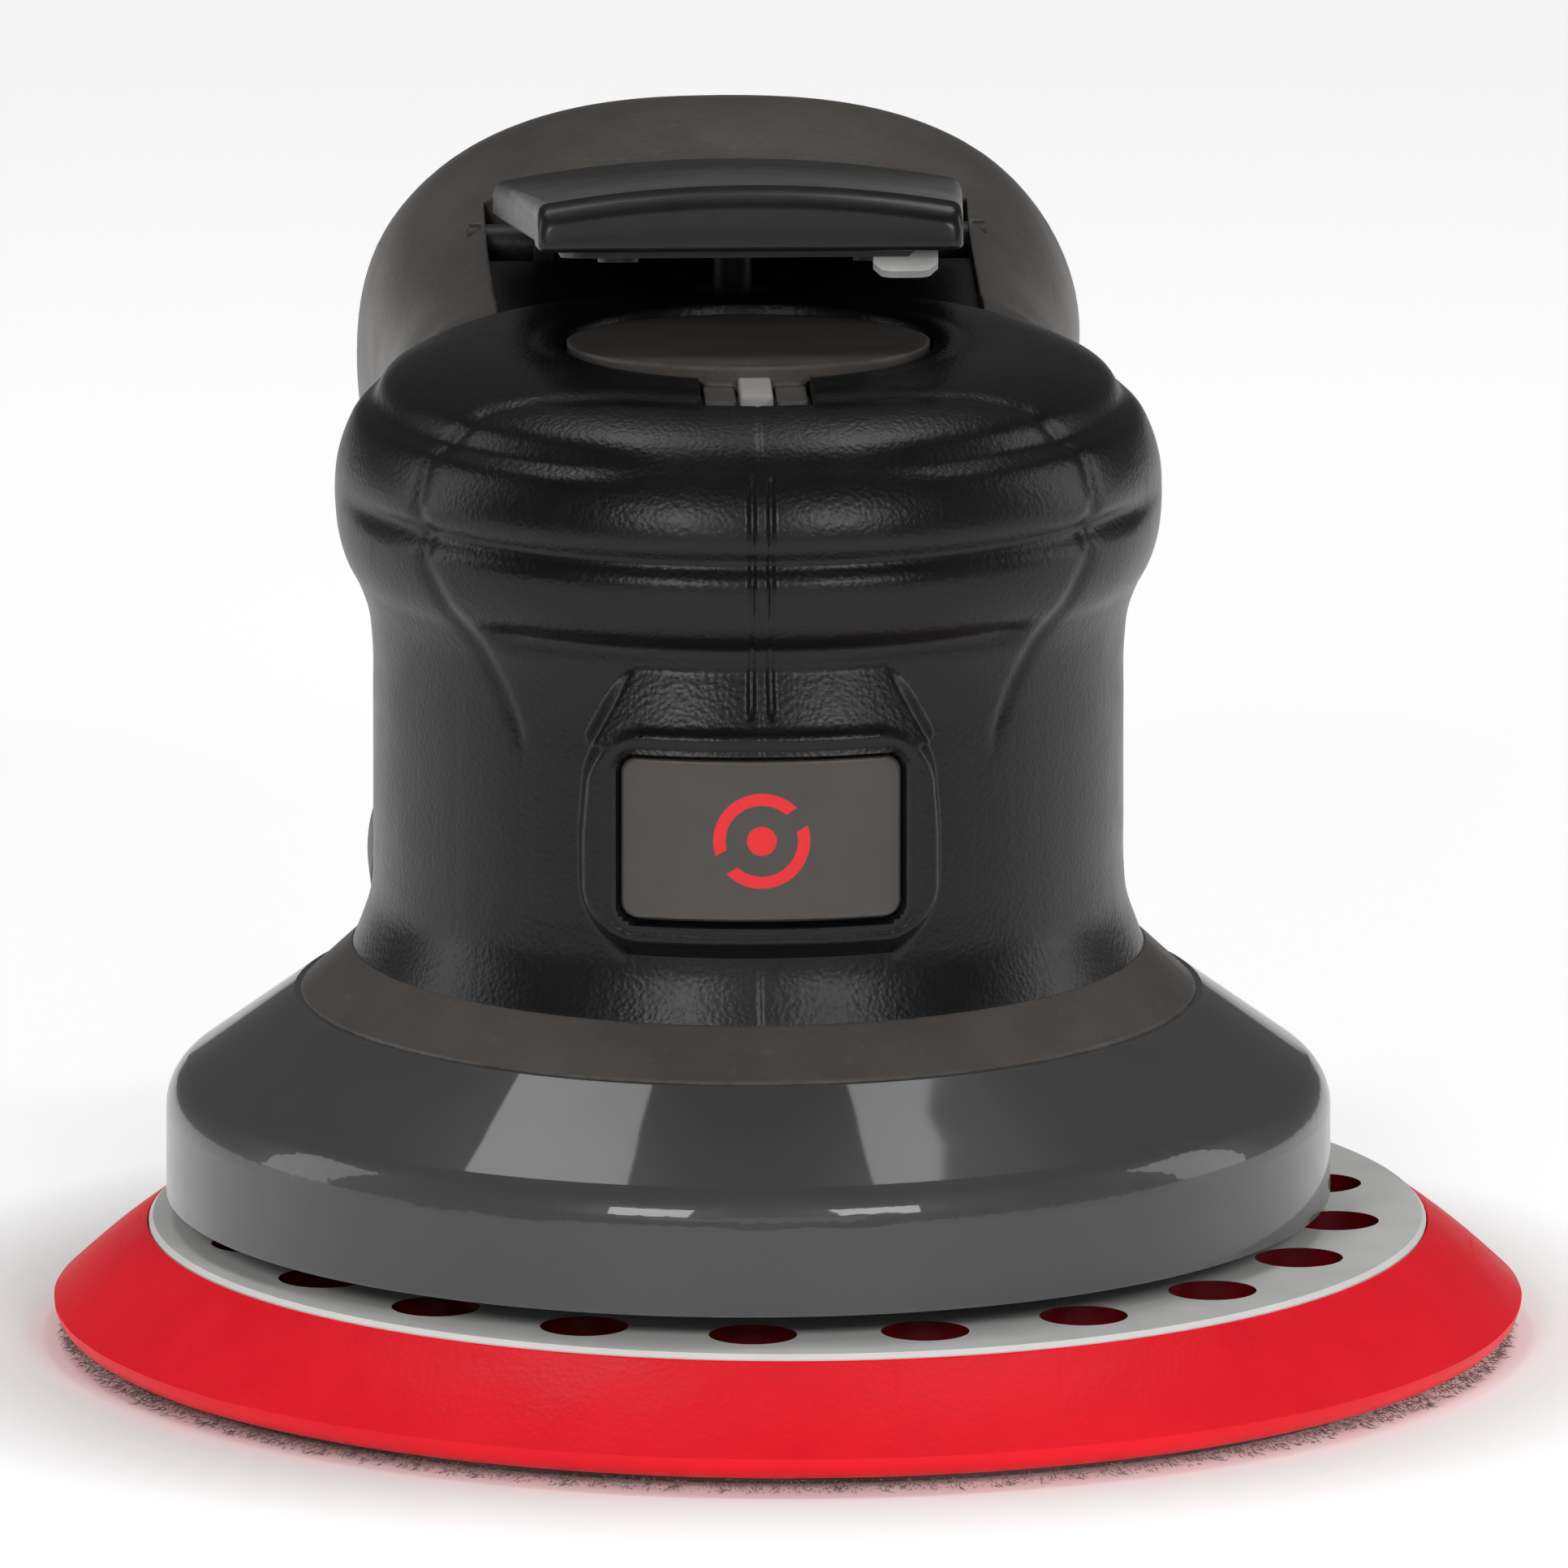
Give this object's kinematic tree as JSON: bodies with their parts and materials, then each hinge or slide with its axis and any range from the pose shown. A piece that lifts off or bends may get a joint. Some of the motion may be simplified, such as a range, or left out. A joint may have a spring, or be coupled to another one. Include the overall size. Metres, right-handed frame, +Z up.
{
  "type": "dual action polisher",
  "caption": "Palm-grip random orbital air tool with a dust shroud, throttle lever over a round rubber grip, broad tail and hook-and-loop disc pad.",
  "frame": {"origin": "on the motor axis, in the plane of the pad's working face", "axes": "+Z up along the motor axis, +Y back along the tail, +X to the right seen from the front"},
  "size_m": [0.15, 0.21, 0.121],
  "materials": {
    "hook_fibre": "matt fibre",
    "foam_red": "satin skinned foam",
    "plate_white": "satin",
    "machined_steel": "machined",
    "bearing_steel": "ground",
    "blackened_steel": "black oxide",
    "plate_aluminium": "machined",
    "liner_iron": "honed",
    "valve_brass": "turned",
    "housing_grey": "fine textured composite",
    "shroud_grey": "polished",
    "grip_rubber": "satin, finely grained",
    "lever_black": "glossy",
    "badge_grey": "satin",
    "seal_rubber": "matt",
    "felt_grey": "felted",
    "vane_brown": "phenolic",
    "cage_nylon": "moulded",
    "knob_black": "moulded"
  },
  "bodies": {
    "housing": {"dust_shroud": "shroud_grey", "shroud_seal": "seal_rubber", "motor_housing": "housing_grey", "rubber_grip": "grip_rubber", "badge_plate": "badge_grey", "tail_housing": "housing_grey", "tail_cover": "housing_grey", "cover_screws": "blackened_steel", "tail_screws": "machined_steel", "lever_mat": "grip_rubber", "lever_pin": "machined_steel", "valve_bushing": "valve_brass", "valve_spring": "machined_steel", "inlet_bushing": "machined_steel", "inlet_seal": "seal_rubber", "inlet_screen": "machined_steel", "muffler_felt": "felt_grey", "exhaust_cover": "knob_black", "spigot_ring": "machined_steel", "lock_ring": "plate_aluminium", "motor_cylinder": "liner_iron", "lower_end_plate": "plate_aluminium", "upper_end_plate": "plate_aluminium", "cylinder_pins": "machined_steel", "wave_washer": "machined_steel", "lower_bearing_outer_ring": "bearing_steel", "upper_bearing_outer_ring": "bearing_steel"},
    "rotor": {"eccentric_shaft": "machined_steel", "rotor": "machined_steel", "rotor_vanes": "vane_brown", "rotor_key": "machined_steel", "spindle_bearing_clip": "blackened_steel", "spindle_bearing_outer_rings": "bearing_steel", "lower_bearing_inner_ring": "bearing_steel", "upper_bearing_inner_ring": "bearing_steel"},
    "pad": {"hook_face": "hook_fibre", "pad_foam": "foam_red", "pad_plate": "plate_white", "pad_hub": "machined_steel", "pad_rivets": "machined_steel", "spindle": "machined_steel", "spindle_washer": "machined_steel", "spindle_screw": "blackened_steel", "spindle_bearing_inner_rings": "bearing_steel"},
    "lower_cage": {"lower_bearing_balls": "bearing_steel", "lower_bearing_cage": "cage_nylon"},
    "upper_cage": {"upper_bearing_balls": "bearing_steel", "upper_bearing_cage": "cage_nylon"},
    "spindle_cage": {"spindle_bearing_balls": "bearing_steel", "spindle_bearing_cages": "cage_nylon"},
    "lever": {"throttle_paddle": "lever_black", "lever_plate": "blackened_steel", "lever_rivets": "machined_steel"},
    "valve": {"valve_stem": "knob_black", "valve_seal": "seal_rubber"},
    "regulator": {"regulator_spool": "valve_brass", "regulator_clip": "machined_steel", "regulator_knob": "knob_black"},
    "spigot": {"dust_spigot": "knob_black"}
  },
  "joints": [
    {"name": "rotor_spin", "type": "hinge", "parent": "housing", "child": "rotor", "pos_m": [0, 0, 0.06], "axis": [0, 0, 1], "continuous": true},
    {"name": "pad_spin", "type": "hinge", "parent": "rotor", "child": "pad", "pos_m": [0.004, 0, 0.025], "axis": [0, 0, 1], "continuous": true},
    {"name": "lower_cage_spin", "type": "hinge", "parent": "housing", "child": "lower_cage", "pos_m": [0, 0, 0.0425], "axis": [0, 0, 1], "continuous": true},
    {"name": "upper_cage_spin", "type": "hinge", "parent": "housing", "child": "upper_cage", "pos_m": [0, 0, 0.09], "axis": [0, 0, 1], "continuous": true},
    {"name": "spindle_cage_spin", "type": "hinge", "parent": "rotor", "child": "spindle_cage", "pos_m": [0.004, 0, 0.025], "axis": [0, 0, 1], "continuous": true},
    {"name": "lever_press", "type": "hinge", "parent": "housing", "child": "lever", "pos_m": [0, 0.068, 0.0996], "axis": [1, 0, 0], "range_deg": [0, 5.5], "stiffness_Nm_per_rad": 2, "springref_deg": -5.73},
    {"name": "valve_push", "type": "slide", "parent": "housing", "child": "valve", "axis": [0, 0, -1], "range_m": [0, 0.0018], "deforming": ["valve_spring"]},
    {"name": "regulator_turn", "type": "hinge", "parent": "housing", "child": "regulator", "pos_m": [0.014, 0.092, 0.056], "axis": [0, 0, 1], "range_deg": [0, 90]},
    {"name": "spigot_swivel", "type": "hinge", "parent": "housing", "child": "spigot", "pos_m": [-0.021, 0.08, 0.031], "axis": [0, 1, 0], "continuous": true}
  ],
  "couplings": [
    {"joint": "lower_cage_spin", "follows": "rotor_spin", "ratio": 0.3915},
    {"joint": "upper_cage_spin", "follows": "rotor_spin", "ratio": 0.38},
    {"joint": "spindle_cage_spin", "follows": "pad_spin", "ratio": 0.4},
    {"joint": "valve_push", "follows": "lever_press", "m_per_rad": 0.018}
  ]
}
